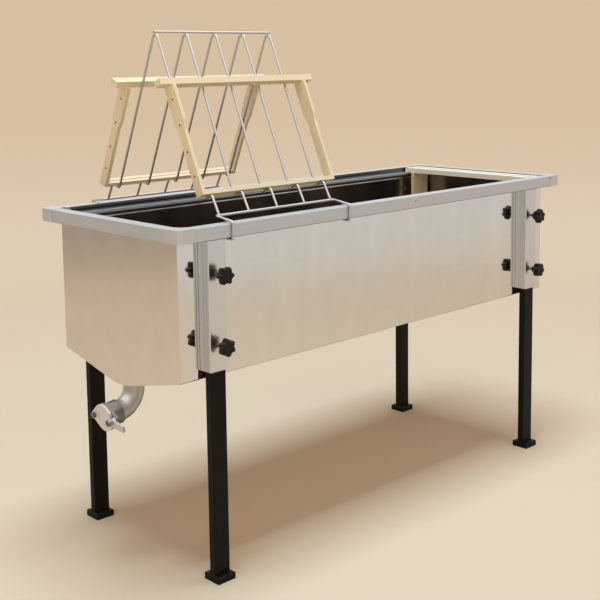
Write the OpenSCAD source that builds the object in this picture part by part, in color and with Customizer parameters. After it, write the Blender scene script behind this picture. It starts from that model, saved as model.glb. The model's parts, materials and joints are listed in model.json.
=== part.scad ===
// Uncapping tank on four removable legs, with a frame rack, hive frames and a drain gate.
// Millimetres, +Z up, +X towards the end without the drain, +Y towards the back.
// The origin lies on the floor under the middle of the whole object, drain gate included.

/* [Rim] */
// Length of the rim over its corner connectors
rim_l = 1435; // [1300:5:1700]
// Width of the rim over its corner connectors
rim_w = 550; // [500:5:620]
// Height of the rim's top above the floor
rim_top = 821; // [760:1:920]
// Side of the square rim tube
rim_tube = 30; // [26:1:34]
// Wall of the rim tube
rim_wall = 2; // [1.5:0.1:3]
// Radius on the long edges of the rim tube
rim_edge_r = 1.2; // [0.5:0.1:2]
// Height of the frame ledge on the inside of the rim
ledge_h = 13; // [8:0.5:18]
// Length of a corner connector's arm, from the outer corner
corner_arm = 47; // [46:1:70]
// How far a corner connector stands proud of the tubes
corner_proud = 0.6; // [0.3:0.1:1]
// Radius in the inner corner of a connector
corner_fillet = 14; // [6:1:15]
// Length of a connector's spigot inside a tube
spigot_l = 40; // [20:1:60]
// Gap of the seam between a connector and a tube
seam_gap = 0.8; // [0.4:0.1:1.5]

/* [Trough] */
// Thickness of the stainless sheet
sheet = 1.5; // [1:0.1:2]
// How far the long walls stand inside the rim's outer faces
wall_inset = 43; // [41:0.5:46]
// How far the end plates stand inside the rim's outer faces
end_inset = 29; // [22:0.5:30]
// Depth of the straight walls below the rim's top
wall_depth = 349; // [320:1:400]
// Drop of the V bottom from the walls to its keel line
sump_drop = 52; // [35:1:75]
// Radius along the keel of the V bottom
keel_r = 160; // [100:5:220]
// Inside radius of the sheet folds
fold_r = 3; // [2:0.5:5]

/* [Strainer] */
// Height of the strainer floor above the lowest straight wall
strainer_rise = 20; // [12:1:30]
// Gap between the strainer and the trough walls
strainer_gap = 2; // [1:0.5:4]
// Length of one strainer slot
slot_l = 40; // [20:1:60]
// Width of one strainer slot
slot_w = 5; // [3:0.5:7]
// Metal left between two slots in a row
slot_web = 22; // [10:1:30]
// Distance between two rows of slots
slot_row = 36; // [25:1:50]

/* [Leg clamps] */
// Distance from the rim's end to the middle of a clamp
clamp_inset = 118; // [100:1:140]
// Side wall of the clamp extrusion, beside the leg
clamp_side = 2.5; // [2.2:0.1:4]
// Front wall of the clamp extrusion
clamp_front = 3.5; // [3:0.1:5]
// Back wall of the clamp extrusion
clamp_back = 3; // [2.6:0.1:4]
// Height of the clamp's lower end above the lowest straight wall
clamp_rise = 18; // [6:1:30]
// Radius on the two front edges of the clamp
clamp_edge_r = 3; // [1:0.5:4]
// Width of a groove in the clamp's sides
groove_w = 3; // [2:0.5:4]
// Depth of a groove in the clamp's sides
groove_d = 1.2; // [0.8:0.1:1.6]

/* [Legs and feet] */
// Width of the leg tube, along the tank
leg_w = 44; // [38:1:45]
// Depth of the leg tube, across the tank
leg_d = 20; // [18:1:24]
// Wall of the leg tube
leg_wall = 2; // [1.5:0.1:3]
// Radius on the leg tube's edges
leg_edge_r = 2.5; // [1:0.5:4]
// Clearance round a leg in its clamp
leg_clear = 0.5; // [0.3:0.1:1]
// Side of the square foot pad
foot_side = 50; // [50:1:60]
// Height of the foot pad
foot_h = 16; // [12:1:24]
// Chamfer round the top of the foot pad
foot_chamfer = 2; // [1:0.5:2]
// Length of the foot's plug inside the leg
foot_plug_l = 32; // [15:1:60]

/* [Knobs] */
// Diameter over the lobes of a star knob
knob_d = 42; // [36:1:46]
// Height of the star head
knob_head_h = 20; // [16:1:24]
// Count of lobes
knob_lobes = 6; // [5:1:8]
// Diameter of the knob's neck
knob_neck_d = 18; // [14:1:22]
// Length of the knob's neck
knob_neck_h = 8; // [5:1:12]
// Bare length of the stud between clamp and knob
stud_bare = 10; // [6:1:16]
// Diameter of the stud
stud_d = 8; // [6:1:10]
// Distance of the upper knob below the clamp's top
knob_drop = 76; // [60:1:100]
// Distance of the lower knob above the clamp's lower end
knob_lift = 59; // [50:1:90]

/* [Drain] */
// Distance of the outlet tube's axis from the rim's end
outlet_inset = 67; // [60:1:80]
// Outside diameter of the outlet tube
tube_d = 50; // [46:1:52]
// Wall of the outlet tube
tube_wall = 2; // [1.5:0.1:3]
// Straight length under the keel before the bend
tube_drop = 12; // [8:1:25]
// Radius of the bend, at the tube's axis
elbow_r = 50; // [46:1:70]
// Slope of the outlet below level, in degrees
outlet_tilt = 10; // [0:1:20]
// Straight length after the bend
tube_tail = 22; // [16:1:40]
// Diameter of the gate's passage
gate_bore_d = 42; // [34:1:44]
// Wall of the gate body's socket round the tube
socket_wall = 4; // [3:0.5:6]
// Thickness of the gate body's flange
gate_flange_t = 8; // [6:0.5:12]
// Radius of the round middle of the gate
gate_r = 33; // [32:0.5:36]
// Radius of the gate's two ears
ear_r = 10; // [9:0.5:12]
// Distance of the ears from the gate's axis
ear_off = 36; // [34:0.5:42]
// Thickness of the gate flap
flap_t = 6; // [5:0.5:9]
// Diameter of the gate's two screws
gate_screw_d = 8; // [6:0.5:9]
// Length of the gate lever from its screw's axis
lever_l = 52; // [40:1:56]
// Width of the gate lever
lever_w = 17; // [12:1:20]

/* [Frame rack] */
// Diameter of the rack's wire
wire_d = 6; // [4:0.5:7]
// Count of bent loops
loop_count = 5; // [3:1:6]
// Distance from the rim's end to the middle of the rack
rack_pos = 336; // [330:1:420]
// Lean of the loops' legs from upright, in degrees
rack_lean = 23.4; // [20:0.2:28]
// Height of the rack's shelf above the rim, at its inner bend
shelf_h = 43; // [38:1:60]
// Depth of the rack's shelf, square to the loops' legs
shelf_d = 30; // [28:1:40]
// How far the loops stand past the leaning frames
apex_over = 126; // [100:1:150]
// Bend radius at the top of a loop
apex_bend_r = 10; // [8:1:16]
// Bend radius of the other wire bends
wire_bend_r = 6; // [5:0.5:8]
// Height of the rack's rails above the rim
rail_h = 11; // [9:1:16]
// Distance of the rails from the rim's inner faces
rail_gap = 24; // [16:1:30]
// How far a rail runs past the outer loops
rail_over = 9; // [9:1:24]
// How far the ridge wire runs past the outer loops
ridge_over = 5; // [3:1:20]
// Length of a hook's foot under the rim
hook_foot = 24; // [15:1:28]

/* [Hive frames] */
// Gap between a hanging frame's side bars and the trough walls
frame_side_gap = 20.5; // [14:0.5:26]
// Gap between a hanging frame and the strainer
frame_floor_gap = 42; // [20:1:70]
// Gap between a top bar's ends and the rim
ear_gap = 5; // [3:0.5:6]
// Thickness of a top bar
top_bar_t = 15; // [12:1:24]
// Width of top and bottom bars
bar_w = 25; // [22:1:28]
// Width of a side bar's upper part
side_bar_w = 35; // [30:1:37]
// Thickness of side and bottom bars
side_bar_t = 9; // [7:0.5:11]
// Height of a side bar's wide upper part
side_wide_h = 88; // [60:1:110]
// Height of the taper below the wide part
side_taper_h = 22; // [10:1:40]
// Gap between the last hanging frame and the rim
hang_gap = 9; // [5:1:20]
// Gap between two hanging frames
frame_gap = 1; // [0.6:0.1:4]
// Space between the outer loops and a frame's side bars
loop_margin = 24; // [20:1:40]

/* [Hidden] */
$fn = 48;

// Steps in a sheet fold, overrun of a cut, and the gap between pieces that only rest on each other
bend_steps = 6;
over = 1;
seat_gap = 0.3;
run_clear = 0.05;
// How far a straight reaches into a bend, and how much thicker the bend is
bend_lap = 0.5;
bend_swell = 0.05;

// Corners of the stand: name, side along X, side along Y
corners = [["fl", -1, -1], ["fr", 1, -1], ["bl", -1, 1], ["br", 1, 1]];
levels = ["upper", "lower"];

// Trough and rim
flange_gap = 2;
flange_z = rim_top - corner_proud - rim_tube;
flange_y = rim_w / 2 - flange_gap;
flange_x = rim_l / 2 - flange_gap;
wall_y = rim_w / 2 - wall_inset;
wall_in = wall_y - sheet;
wall_bot = rim_top - wall_depth;
sump_slope = atan(sump_drop / wall_y);
fold_in_z = wall_bot - sheet * tan(sump_slope) + sheet / cos(sump_slope);
keel_in_z = wall_bot - sump_drop + sheet / cos(sump_slope);
keel_z = wall_bot - sump_drop + (keel_r + sheet) * (1 / cos(sump_slope) - 1);
plate_x = rim_l / 2 - end_inset;
shell_l = 2 * (plate_x - sheet);
tube_in_y = rim_w / 2 - corner_proud - rim_tube;
tube_in_x = rim_l / 2 - corner_proud - rim_tube;
ledge_set = 1;
ledge_in = wall_in + ledge_set;
ledge_z = flange_z + ledge_h;
corner_edge_r = 3;
spigot_clear = 0.2;
spigot_side = rim_tube - 2 * rim_wall - 2 * spigot_clear;

// Strainer
strainer_z = wall_bot + strainer_rise;
strainer_y = wall_in - strainer_gap;
strainer_l = shell_l - 2 * strainer_gap;
strainer_foot_z = wall_bot - sump_drop * (1 - strainer_y / wall_y) + sheet / cos(sump_slope) + seat_gap;
slot_pitch = slot_l + slot_web;
slot_count = floor((strainer_l - 2 * slot_web) / slot_pitch);
slot_rows = floor((2 * strainer_y - slot_row) / slot_row);

// Leg clamps, legs and feet
clamp_x = rim_l / 2 - clamp_inset;
clamp_bot = wall_bot + clamp_rise;
clamp_top = flange_z - sheet - fold_r - seat_gap;
channel_w = leg_w + 2 * leg_clear;
channel_d = leg_d + 2 * leg_clear;
clamp_w = channel_w + 2 * clamp_side;
clamp_d = clamp_back + channel_d + clamp_front;
groove_pitch = clamp_d / 3;
leg_y = wall_y + clamp_back + channel_d / 2;
leg_top_gap = 1;
leg_top = clamp_top - leg_top_gap;
foot_floor = 6;
foot_clear = 0.2;
leg_in_w = leg_w - 2 * leg_wall;
leg_in_d = leg_d - 2 * leg_wall;
rivet_r = 2.4;
rivet_head_r = 4.5;
rivet_head_h = 1.6;
rivet_tail_r = 3.6;
rivet_tail_h = 1.2;
rivet_relief_w = 9;
rivet_relief_d = 1.4;
rivet_share = 0.12;
rivet_in = (clamp_top - clamp_bot) * rivet_share;
rivet_z = [clamp_bot + rivet_in, clamp_top - rivet_in];

// Knobs, measured along the stud from the clamp's front face
knob_z = [clamp_top - knob_drop, clamp_bot + knob_lift];
stud_r = stud_d / 2;
stud_tip = leg_clear + clamp_front - seat_gap;
knob_hold_share = 0.6;
stud_end = stud_bare + knob_neck_h + knob_head_h * knob_hold_share;
lobe_share = 0.3;
lobe_r = knob_d / 2 * lobe_share;
lobe_ring = knob_d / 2 - lobe_r;
hub_share = 0.8;
blank_over = 0.5;
knob_top_r = 5;
knob_under_r = 3;

// Drain, measured along the outlet from the end of the bend
outlet_x = -(rim_l / 2 - outlet_inset);
tube_r = tube_d / 2;
tube_in_r = tube_r - tube_wall;
tube_rise = 10;
elbow_z = keel_z - tube_drop;
elbow_turn = 90 - outlet_tilt;
elbow_end = [outlet_x - elbow_r + elbow_r * cos(elbow_turn), 0, elbow_z - elbow_r * sin(elbow_turn)];
socket_start = 6;
socket_fit = 0.1;
socket_r = tube_r + socket_fit + socket_wall;
gate_neck = 12;
flange_s = tube_tail + gate_neck;
gate_face = flange_s + gate_flange_t;
flap_s = gate_face + seat_gap;
flap_face = flap_s + flap_t;
gate_head_s = flap_face + seat_gap;
seal_w = 4;
seal_depth = 2;
seal_lip = 2.5;
seal_side = 0.1;
seal_proud = 0.2;
gate_screw_r = gate_screw_d / 2;
slot_clear = 0.5;
ear_angle = acos((gate_r - ear_r) / ear_off);
web_set = 0.1;
flap_recess_r = gate_r - ear_r / 2;
flap_recess_d = 1.2;
bolt_head_r = 7;
bolt_head_h = 6;
bolt_nut_h = 6.5;
lever_hub_r = 8;
lever_hub_h = 12;
lever_t = 5;
lever_down = 6;
lever_edge_r = 3;
gate_tip_x = elbow_end.x - (gate_head_s + lever_hub_h) * cos(outlet_tilt) - lever_hub_r * sin(outlet_tilt);
tank_mid_x = (-rim_l / 2 - gate_tip_x) / 2;

// Hive frames
frame_w = 2 * (wall_in - frame_side_gap);
frame_in_w = frame_w - 2 * side_bar_t;
top_bar_l = 2 * (tube_in_y - ear_gap);
frame_drop = ledge_z - strainer_z - sheet - frame_floor_gap;
comb_groove_w = 3;
comb_groove_d = 4;
hang_x = tube_in_x - hang_gap - side_bar_w / 2;
hang_pitch = side_bar_w + frame_gap;
front_shift = 10;
back_shift = -8;

// Frame rack, heights above the rim's top
wire_r = wire_d / 2;
rack_x = -rim_l / 2 + rack_pos;
loop_pitch = (frame_in_w - 2 * loop_margin) / (loop_count - 1);
loop_first = rack_x - loop_pitch * (loop_count - 1) / 2;
frame_h = frame_drop + top_bar_t;
apex_h = shelf_h + (frame_h + apex_over) * cos(rack_lean);
apex_sharp = apex_h + apex_bend_r * (1 / sin(rack_lean) - 1);
shelf_in = (apex_sharp - shelf_h) * tan(rack_lean);
shelf_out = shelf_in + shelf_d * cos(rack_lean);
shelf_out_h = shelf_h + shelf_d * sin(rack_lean);
rail_y = tube_in_y - rail_gap;
rack_half = loop_pitch * (loop_count - 1) / 2;
rail_x = rack_half + rail_over;
ridge_x = rack_half + ridge_over;
hook_y = rim_w / 2 + wire_r + seat_gap;
hook_h = wire_r + seat_gap;
hook_gap = 0.8;
hook_bot = flange_z - sheet - wire_r - hook_gap;
hook_tilt = atan((rail_h - hook_h) / (hook_y - rail_y));
hook_run = norm([hook_y - rail_y, rail_h - hook_h]);
upright = unit([shelf_out, shelf_out_h] - [rail_y, rail_h]);
loop_foot = [rail_y, rail_h] + upright * wire_r;
seat_r = wire_bend_r - wire_r - bend_swell - seat_gap;
seat_off = max(wire_r + seat_gap, wire_bend_r - seat_r * cos(45));
bar_off = seat_off + bar_w / 2;
lean_run = seat_off + frame_drop;
lean_y = shelf_in - lean_run * sin(rack_lean) + bar_off * cos(rack_lean);
lean_z = rim_top + shelf_h + lean_run * cos(rack_lean) + bar_off * sin(rack_lean);

// Sheet fold helpers: a path with a radius at each point
function unit(v) = v / norm(v);
function turned(v, a) = [v.x * cos(a) - v.y * sin(a), v.x * sin(a) + v.y * cos(a)];
function turn_at(a, p, b) =
    let (d = unit(p - a), e = unit(b - p)) atan2(d.x * e.y - d.y * e.x, d * e);
function bend_centre(a, p, b, r) =
    let (d = unit(p - a), t = turn_at(a, p, b)) p - d * r * tan(abs(t) / 2) + sign(t) * r * [-d.y, d.x];
function bend_points(a, p, b, r) =
    let (d = unit(p - a), t = turn_at(a, p, b), n = sign(t) * r * [-d.y, d.x], c = bend_centre(a, p, b, r))
    [for (i = [0 : bend_steps]) c - turned(n, t * i / bend_steps)];
function folded(path, radii) = [
    for (i = [0 : len(path) - 1])
        each (radii[i] > 0 ? bend_points(path[i - 1], path[i], path[i + 1], radii[i]) : [path[i]])
];
function mirrored(path) = [for (i = [len(path) - 1 : -1 : 0]) [-path[i].x, path[i].y]];
function cut_back(path, radii, i) =
    i == 0 || i == len(path) - 1 ? 0 : radii[i] * tan(abs(turn_at(path[i - 1], path[i], path[i + 1])) / 2);

// Trough section, left half to right half, outside and inside of the sheet
outer_half = [[-wall_y, flange_z - sheet], [-wall_y, wall_bot]];
outer_path = concat(
    [[-flange_y, flange_z - sheet]], outer_half, [[0, wall_bot - sump_drop]],
    mirrored(outer_half), [[flange_y, flange_z - sheet]]
);
outer_radii = [0, fold_r, fold_r + sheet, keel_r + sheet, fold_r + sheet, fold_r, 0];
inner_half = [[-wall_in, flange_z], [-wall_in, fold_in_z]];
inner_path = concat(
    [[-flange_y, flange_z]], inner_half, [[0, keel_in_z]],
    mirrored(inner_half), [[flange_y, flange_z]]
);
inner_radii = [0, fold_r + sheet, fold_r, keel_r, fold_r, fold_r + sheet, 0];
outer_line = folded(outer_path, outer_radii);
inner_line = folded(inner_path, inner_radii);
hull_half = [[-wall_y, flange_z], [-wall_y, wall_bot]];
hull_path = concat(hull_half, [[0, wall_bot - sump_drop]], mirrored(hull_half));
hull_radii = [0, fold_r + sheet, keel_r + sheet, fold_r + sheet, 0];
hull_line = folded(hull_path, hull_radii);

// Loop centre line across the tank: rail, shelf, apex, shelf, rail
loop_half = [
    [-loop_foot.x, loop_foot.y], [-shelf_out, shelf_out_h], [-shelf_in, shelf_h]
];
loop_path = concat(loop_half, [[0, apex_sharp]], mirrored(loop_half));
loop_radii = [0, wire_bend_r, wire_bend_r, apex_bend_r, wire_bend_r, wire_bend_r, 0];

// Shared shapes

// Everything stands beside the origin, so that the gate's overhang is shared by both ends.
module placed() {
    translate([tank_mid_x, 0, 0]) children();
}

// A section drawn in Y and Z, drawn out along X about its middle.
module along_x(length) {
    rotate([90, 0, 90]) translate([0, 0, -length / 2]) linear_extrude(length) children();
}

// A rectangle with rounded corners, centred.
module round_rect(w, h, r) {
    square([w - 2 * r, h], center = true);
    square([w, h - 2 * r], center = true);
    for (x = [-1, 1], y = [-1, 1]) translate([x * (w / 2 - r), y * (h / 2 - r)]) circle(r);
}

// A bent wire in the XY plane. Bends are a hair thicker than the straights, whose ends lie inside them.
// With first = 1 the path's first straight is left to the wire that it continues.
module wire_run(path, radii, first = 0) {
    last = len(path) - 1;
    for (i = [first : last - 1]) {
        d = unit(path[i + 1] - path[i]);
        s = path[i] + d * (cut_back(path, radii, i) - (i > 0 ? bend_lap : 0));
        e = path[i + 1] - d * (cut_back(path, radii, i + 1) - (i + 1 < last ? bend_lap : 0));
        translate(s) rotate([0, 90, atan2(d.y, d.x)]) cylinder(h = norm(e - s), r = wire_r);
    }
    for (i = [1 : last - 1]) {
        t = turn_at(path[i - 1], path[i], path[i + 1]);
        c = bend_centre(path[i - 1], path[i], path[i + 1], radii[i]);
        s = path[i] - unit(path[i] - path[i - 1]) * cut_back(path, radii, i) - c;
        translate(c) rotate([0, 0, atan2(s.y, s.x) + min(t, 0)])
            rotate_extrude(angle = abs(t)) translate([radii[i], 0]) circle(wire_r + bend_swell);
    }
}

// Trough

module trough_shell() color("lightgray") difference() {
    along_x(shell_l) polygon(concat(outer_line, [for (i = [len(inner_line) - 1 : -1 : 0]) inner_line[i]]));
    translate([outlet_x, 0, keel_z - over]) cylinder(h = sump_drop, r = tube_in_r);
    for (x = [-1, 1], y = [-1, 1], z = rivet_z)
        translate([x * clamp_x, y * wall_y, z]) rotate([y * 90, 0, 0])
            translate([0, 0, -over]) cylinder(h = sheet + 2 * over, r = rivet_r + run_clear);
}

module end_plate(side) color("lightgray") {
    translate([side * (plate_x - sheet / 2), 0, 0]) along_x(sheet) polygon(hull_line);
    translate([side * (plate_x - sheet + flange_x) / 2, 0, flange_z - sheet / 2])
        cube([flange_x - plate_x + sheet, 2 * flange_y, sheet], center = true);
}

module strainer() color("gainsboro") {
    translate([0, 0, strainer_z]) linear_extrude(sheet) difference() {
        square([strainer_l, 2 * strainer_y], center = true);
        for (i = [0 : slot_count - 1], j = [0 : slot_rows - 1])
            translate([(i - (slot_count - 1) / 2) * slot_pitch, (j - (slot_rows - 1) / 2) * slot_row])
                square([slot_l, slot_w], center = true);
    }
    for (y = [-1, 1])
        translate([-strainer_l / 2, y * (strainer_y - sheet / 2) - sheet / 2, strainer_foot_z])
            cube([strainer_l, sheet, strainer_z + sheet - strainer_foot_z]);
}

// Rim

function tube_l(span) = span - 2 * (corner_arm + seam_gap);

module rim_tube_section() difference() {
    round_rect(rim_tube, rim_tube, rim_edge_r);
    square(rim_tube - 2 * rim_wall, center = true);
}

// The ledge runs half way into the tube's wall.
module ledge_section() difference() {
    square([tube_in_y - ledge_in + rim_wall / 2, ledge_h]);
    translate([rim_wall, rim_wall]) square([tube_in_y - ledge_in - rim_wall, ledge_h - 2 * rim_wall]);
}

module long_rim(side) color("silver") mirror([0, side < 0 ? 1 : 0, 0]) along_x(tube_l(rim_l)) {
    translate([tube_in_y + rim_tube / 2, flange_z + rim_tube / 2]) rim_tube_section();
    translate([ledge_in, flange_z]) ledge_section();
}

module end_rim(side) color("silver")
    translate([side * (tube_in_x + rim_tube / 2), 0, flange_z + rim_tube / 2])
        rotate([0, 0, 90]) along_x(tube_l(rim_w)) rim_tube_section();

module corner_plan() {
    arm_w = rim_tube + corner_proud;
    translate([corner_edge_r, 0]) square([corner_arm - corner_edge_r, arm_w]);
    translate([0, corner_edge_r]) square([arm_w, corner_arm - corner_edge_r]);
    translate([corner_edge_r, corner_edge_r]) circle(corner_edge_r);
    translate([arm_w, arm_w]) difference() {
        square(corner_fillet);
        translate([corner_fillet, corner_fillet]) circle(corner_fillet);
    }
}

module corner_connector() {
    translate([0, 0, flange_z]) linear_extrude(rim_tube + corner_proud) corner_plan();
    spigot_at = corner_proud + rim_tube / 2 - spigot_side / 2;
    spigot_z = flange_z + (rim_tube - spigot_side) / 2;
    spigot_root = corner_arm / 2;
    spigot_all = corner_arm - spigot_root + spigot_l;
    translate([spigot_root, spigot_at, spigot_z]) cube([spigot_all, spigot_side, spigot_side]);
    translate([spigot_at, spigot_root, spigot_z]) cube([spigot_side, spigot_all, spigot_side]);
}

module rim_corners() color("darkgray") for (x = [0, 1], y = [0, 1])
    mirror([x, 0, 0]) mirror([0, y, 0]) translate([-rim_l / 2, -rim_w / 2, 0]) corner_connector();

// Leg clamps, legs and feet

module clamp_section() difference() {
    union() {
        translate([0, clamp_d / 2]) round_rect(clamp_w, clamp_d, clamp_edge_r);
        translate([-clamp_w / 2, 0]) square([clamp_w, clamp_d / 2]);
    }
    translate([-channel_w / 2, clamp_back]) square([channel_w, channel_d]);
    translate([-rivet_relief_w / 2, clamp_back - rivet_relief_d])
        square([rivet_relief_w, rivet_relief_d + over]);
    for (x = [-1, 1], k = [1, 2])
        translate([x * clamp_w / 2, k * groove_pitch]) square([2 * groove_d, groove_w], center = true);
}

module leg_clamp(sx, sy) color("silver")
    translate([sx * clamp_x, sy * wall_y, 0]) mirror([0, sy < 0 ? 1 : 0, 0]) difference() {
        translate([0, 0, clamp_bot]) linear_extrude(clamp_top - clamp_bot) clamp_section();
        for (z = knob_z) translate([0, clamp_d + over, z]) rotate([90, 0, 0])
            cylinder(h = clamp_front + 2 * over, r = stud_r + run_clear);
        for (z = rivet_z) translate([0, clamp_back + over, z]) rotate([90, 0, 0])
            cylinder(h = clamp_back + 2 * over, r = rivet_r + run_clear);
    }

// One rivet along Y: head inside the trough, tail in the relief of the clamp's back wall.
module rivet() rotate([-90, 0, 0]) {
    head_z = -sheet - rivet_head_h;
    tail_z = clamp_back - rivet_relief_d;
    translate([0, 0, head_z]) cylinder(h = rivet_head_h, r = rivet_head_r);
    translate([0, 0, head_z]) cylinder(h = tail_z + rivet_tail_h - head_z, r = rivet_r);
    translate([0, 0, tail_z]) cylinder(h = rivet_tail_h, r = rivet_tail_r);
}

module clamp_rivets() color("gray") for (c = corners, z = rivet_z)
    translate([c[1] * clamp_x, c[2] * wall_y, z]) mirror([0, c[2] < 0 ? 1 : 0, 0]) rivet();

module leg(sx, sy) color([0.07, 0.07, 0.07])
    translate([sx * clamp_x, sy * leg_y, foot_floor]) linear_extrude(leg_top - foot_floor) difference() {
        round_rect(leg_w, leg_d, leg_edge_r);
        square([leg_in_w, leg_in_d], center = true);
    }

module chamfered_side() polygon([
    [-foot_side / 2, 0], [foot_side / 2, 0],
    [foot_side / 2, foot_h - foot_chamfer], [foot_side / 2 - foot_chamfer, foot_h],
    [-foot_side / 2 + foot_chamfer, foot_h], [-foot_side / 2, foot_h - foot_chamfer]
]);

module foot(sx, sy) color([0.05, 0.05, 0.05]) translate([sx * clamp_x, sy * leg_y, 0]) {
    plug_w = leg_in_w - 2 * foot_clear;
    plug_d = leg_in_d - 2 * foot_clear;
    difference() {
        intersection() {
            along_x(foot_side) chamfered_side();
            rotate([0, 0, 90]) along_x(foot_side) chamfered_side();
        }
        translate([0, 0, foot_floor]) linear_extrude(foot_h)
            round_rect(leg_w + 2 * foot_clear, leg_d + 2 * foot_clear, leg_edge_r + foot_clear);
    }
    translate([-plug_w / 2, -plug_d / 2, foot_floor / 2])
        cube([plug_w, plug_d, foot_plug_l + foot_floor / 2]);
}

// Knobs

// Places a piece drawn along +Z on the stud's axis, from the clamp's front face outwards.
module on_stud(sx, sy, level) {
    translate([sx * clamp_x, sy * (wall_y + clamp_d), knob_z[level]]) rotate([-sy * 90, 0, 0]) children();
}

module star_plan() {
    circle(knob_d / 2 * hub_share);
    for (i = [0 : knob_lobes - 1]) rotate(i * 360 / knob_lobes) translate([lobe_ring, 0]) circle(lobe_r);
}

// Half section of the star head's round blank, which stands a little past the lobes.
module head_section() {
    r = knob_d / 2 + blank_over;
    square([r - knob_top_r, knob_head_h]);
    translate([0, knob_under_r]) square([r, knob_head_h - knob_under_r - knob_top_r]);
    translate([r - knob_top_r, knob_head_h - knob_top_r]) circle(knob_top_r);
    translate([r - knob_under_r, knob_under_r]) circle(knob_under_r);
}

module knob(sx, sy, level) color([0.06, 0.06, 0.06]) on_stud(sx, sy, level) difference() {
    translate([0, 0, stud_bare]) {
        cylinder(h = knob_neck_h + knob_under_r, d = knob_neck_d);
        translate([0, 0, knob_neck_h]) intersection() {
            linear_extrude(knob_head_h) star_plan();
            rotate_extrude() head_section();
        }
    }
    translate([0, 0, stud_bare - over]) cylinder(h = stud_end - stud_bare + over, r = stud_r);
}

module stud(sx, sy, level) color("silver") on_stud(sx, sy, level)
    translate([0, 0, -stud_tip]) cylinder(h = stud_tip + stud_end, r = stud_r);

// Drain

// Places a piece drawn along +X on the outlet's axis, from the end of the bend outwards.
module on_outlet() {
    translate(elbow_end) rotate([0, -outlet_tilt, 0]) rotate([0, 0, 180]) children();
}

module outlet_bar(r, ends = 0) {
    translate([outlet_x, 0, elbow_z - bend_lap]) cylinder(h = tube_drop + tube_rise + bend_lap, r = r);
    translate([outlet_x - elbow_r, 0, elbow_z]) rotate([90, 0, 0]) rotate([0, 0, -elbow_turn])
        rotate_extrude(angle = elbow_turn) translate([elbow_r, 0]) circle(r + bend_swell);
    on_outlet() translate([-bend_lap, 0, 0]) rotate([0, 90, 0])
        cylinder(h = tube_tail + bend_lap + ends, r = r);
}

module outlet_elbow() color("darkgray") difference() {
    outlet_bar(tube_r);
    outlet_bar(tube_in_r, over);
    along_x(shell_l) polygon(hull_line);
}

// Round plate with two ears, drawn in Y and Z. The webs' corners lie just inside the rounds.
module gate_plan() {
    round_at = (gate_r - web_set) * [cos(ear_angle), sin(ear_angle)];
    ear_at = [ear_off, 0] + (ear_r - web_set) * [cos(ear_angle), sin(ear_angle)];
    circle(gate_r);
    for (y = [-1, 1]) translate([y * ear_off, 0]) circle(ear_r);
    polygon([
        ear_at, round_at, [-round_at.x, round_at.y], [-ear_at.x, ear_at.y],
        -ear_at, -round_at, [round_at.x, -round_at.y], [ear_at.x, -ear_at.y]
    ]);
}

// A gate section drawn in Y and Z, drawn out along the outlet from s.
module gate_slab(s, t) {
    translate([s, 0, 0]) rotate([90, 0, 90]) linear_extrude(t) children();
}

module gate_rod(s, length, r, y = 0) {
    translate([s, y, 0]) rotate([0, 90, 0]) cylinder(h = length, r = r);
}

module gate_body() color("darkgray") on_outlet() difference() {
    union() {
        gate_rod(socket_start, flange_s + gate_flange_t / 2 - socket_start, socket_r);
        gate_slab(flange_s, gate_flange_t) gate_plan();
    }
    gate_rod(socket_start - over, gate_face - socket_start + 2 * over, gate_bore_d / 2);
    gate_rod(socket_start - over, tube_tail - socket_start + over, tube_r + socket_fit);
    gate_slab(gate_face - seal_depth, seal_depth + over) difference() {
        circle(gate_bore_d / 2 + seal_lip + seal_w);
        circle(gate_bore_d / 2 + seal_lip);
    }
    for (y = [-ear_off, ear_off])
        gate_rod(flange_s - over, gate_flange_t + 2 * over, gate_screw_r + run_clear, y);
}

module gate_seal() color([0.1, 0.1, 0.1]) on_outlet()
    gate_slab(gate_face - seal_depth, seal_depth + seal_proud) difference() {
        circle(gate_bore_d / 2 + seal_lip + seal_w - seal_side);
        circle(gate_bore_d / 2 + seal_lip + seal_side);
    }

// Slot that lets the flap swing off the lever screw: an arc about the pivot, open upwards.
module swing_slot() {
    reach = 2 * ear_off;
    half = gate_screw_r + slot_clear;
    translate([ear_off, 0]) circle(half);
    intersection() {
        translate([-ear_off, 0]) difference() {
            circle(reach + half);
            circle(reach - half);
        }
        square([2 * reach, gate_r]);
    }
}

module gate_flap() color("lightgray") on_outlet() difference() {
    gate_slab(flap_s, flap_t) difference() {
        gate_plan();
        swing_slot();
        translate([-ear_off, 0]) circle(gate_screw_r + run_clear);
    }
    gate_rod(flap_face - flap_recess_d, flap_recess_d + over, flap_recess_r - ear_r);
}

module gate_pivot_bolt() color("gray") on_outlet() {
    nut_s = flange_s - bolt_nut_h;
    gate_rod(nut_s, gate_head_s + bolt_head_h - nut_s, gate_screw_r, -ear_off);
    gate_rod(gate_head_s, bolt_head_h, bolt_head_r, -ear_off);
    translate([nut_s, -ear_off, 0]) rotate([0, 90, 0]) cylinder(h = bolt_nut_h, r = bolt_head_r, $fn = 6);
}

module gate_lever_screw() color("lightgray") on_outlet() {
    gate_rod(flange_s, gate_head_s + lever_hub_h - flange_s, gate_screw_r, ear_off);
    gate_rod(gate_head_s, lever_hub_h, lever_hub_r, ear_off);
    gate_slab(gate_head_s, lever_t) translate([ear_off, 0]) rotate(-lever_down)
        translate([lever_l / 2, 0]) round_rect(lever_l, lever_w, lever_edge_r);
}

// Frame rack

module rack_loops() color("gray") for (i = [0 : loop_count - 1])
    translate([loop_first + i * loop_pitch, 0, rim_top]) rotate([90, 0, 90]) wire_run(loop_path, loop_radii);

module rack_ridge() color("gray") translate([rack_x - ridge_x, 0, rim_top + apex_h + wire_d])
    rotate([0, 90, 0]) cylinder(h = 2 * ridge_x, r = wire_r);

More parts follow.
